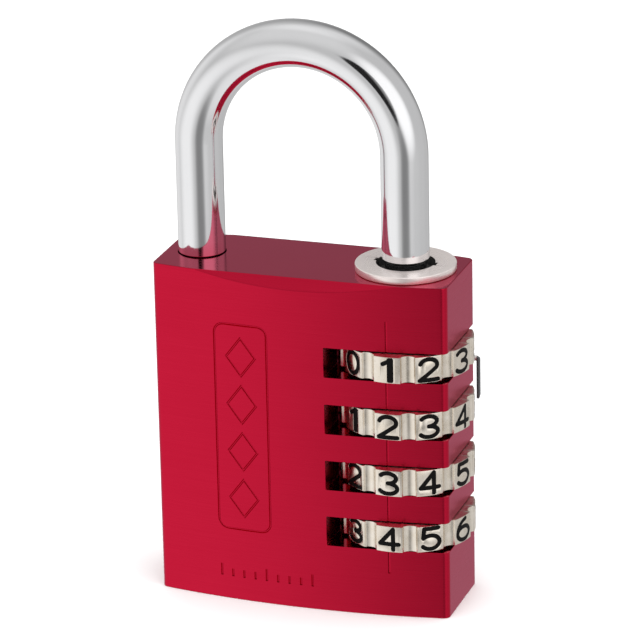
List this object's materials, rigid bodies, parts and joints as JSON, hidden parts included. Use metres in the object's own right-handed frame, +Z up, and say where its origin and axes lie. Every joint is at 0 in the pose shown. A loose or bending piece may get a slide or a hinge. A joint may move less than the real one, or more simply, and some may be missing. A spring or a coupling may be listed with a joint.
{
  "type": "combination padlock",
  "caption": "Padlock with a slim metal body, number wheels turned by thumb along one side, and a round steel shackle that lifts when the code is set.",
  "frame": {"origin": "centre of the body's flat bottom face", "axes": "+X towards the number wheels' side, +Y towards the back face, +Z up towards the shackle"},
  "size_m": [0.0414, 0.0179, 0.0782],
  "materials": {
    "anodised_body": "red satin anodised aluminium with a fine level brushing",
    "polished_steel": "polished chrome-plated hardened steel bar",
    "nickel": "nickel-plated turned bush, satin top",
    "wheel_metal": "warm nickel-plated die casting, lightly worn, numbers filled black",
    "sleeve_brass": "plain turned brass",
    "spring_steel": "bright drawn steel",
    "black_slider": "dark steel key and tab"
  },
  "bodies": {
    "lock_case": {"lock_body": "anodised_body", "flange_bush": "nickel", "bottom_plug": "anodised_body", "plug_pin": "spring_steel", "detent_plug": "anodised_body", "detent_spring": "spring_steel", "reset_guide_pin": "spring_steel", "shackle_spring": "spring_steel", "stack_spring": "spring_steel"},
    "shackle_bar": {"shackle": "polished_steel", "gate_pin_1": "spring_steel", "gate_pin_2": "spring_steel", "gate_pin_3": "spring_steel", "gate_pin_4": "spring_steel"},
    "reset": {"reset_slider": "black_slider"},
    "wheel_1": {"number_wheel_1": "wheel_metal"},
    "sleeve_1": {"clutch_sleeve_1": "sleeve_brass"},
    "wheel_2": {"number_wheel_2": "wheel_metal"},
    "sleeve_2": {"clutch_sleeve_2": "sleeve_brass"},
    "wheel_3": {"number_wheel_3": "wheel_metal"},
    "sleeve_3": {"clutch_sleeve_3": "sleeve_brass"},
    "wheel_4": {"number_wheel_4": "wheel_metal"},
    "sleeve_4": {"clutch_sleeve_4": "sleeve_brass"}
  },
  "joints": [
    {"name": "shackle_lift", "type": "slide", "parent": "lock_case", "child": "shackle_bar", "axis": [0, 0, 1], "range_m": [0, 0.0078], "deforming": ["shackle_spring"]},
    {"name": "reset_slide", "type": "slide", "parent": "lock_case", "child": "reset", "axis": [0, 0, -1], "range_m": [0, 0.0012], "stiffness_N_per_m": 300, "springref_m": -0.002, "deforming": ["stack_spring"]},
    {"name": "wheel_1_turn", "type": "hinge", "parent": "lock_case", "child": "wheel_1", "pos_m": [0.0127, 0, 0.0348], "axis": [0, 0, 1], "continuous": true, "deforming": ["detent_spring"]},
    {"name": "sleeve_1_shift", "type": "slide", "parent": "wheel_1", "child": "sleeve_1", "axis": [0, 0, -1], "range_m": [0, 0.0012]},
    {"name": "wheel_2_turn", "type": "hinge", "parent": "lock_case", "child": "wheel_2", "pos_m": [0.0127, 0, 0.02697], "axis": [0, 0, 1], "continuous": true, "deforming": ["detent_spring"]},
    {"name": "sleeve_2_shift", "type": "slide", "parent": "wheel_2", "child": "sleeve_2", "axis": [0, 0, -1], "range_m": [0, 0.0012]},
    {"name": "wheel_3_turn", "type": "hinge", "parent": "lock_case", "child": "wheel_3", "pos_m": [0.0127, 0, 0.01914], "axis": [0, 0, 1], "continuous": true, "deforming": ["detent_spring"]},
    {"name": "sleeve_3_shift", "type": "slide", "parent": "wheel_3", "child": "sleeve_3", "axis": [0, 0, -1], "range_m": [0, 0.0012]},
    {"name": "wheel_4_turn", "type": "hinge", "parent": "lock_case", "child": "wheel_4", "pos_m": [0.0127, 0, 0.01131], "axis": [0, 0, 1], "continuous": true, "deforming": ["detent_spring"]},
    {"name": "sleeve_4_shift", "type": "slide", "parent": "wheel_4", "child": "sleeve_4", "axis": [0, 0, -1], "range_m": [0, 0.0012]}
  ],
  "couplings": [
    {"joint": "sleeve_1_shift", "follows": "reset_slide", "ratio": 1},
    {"joint": "sleeve_2_shift", "follows": "reset_slide", "ratio": 1},
    {"joint": "sleeve_3_shift", "follows": "reset_slide", "ratio": 1},
    {"joint": "sleeve_4_shift", "follows": "reset_slide", "ratio": 1}
  ]
}
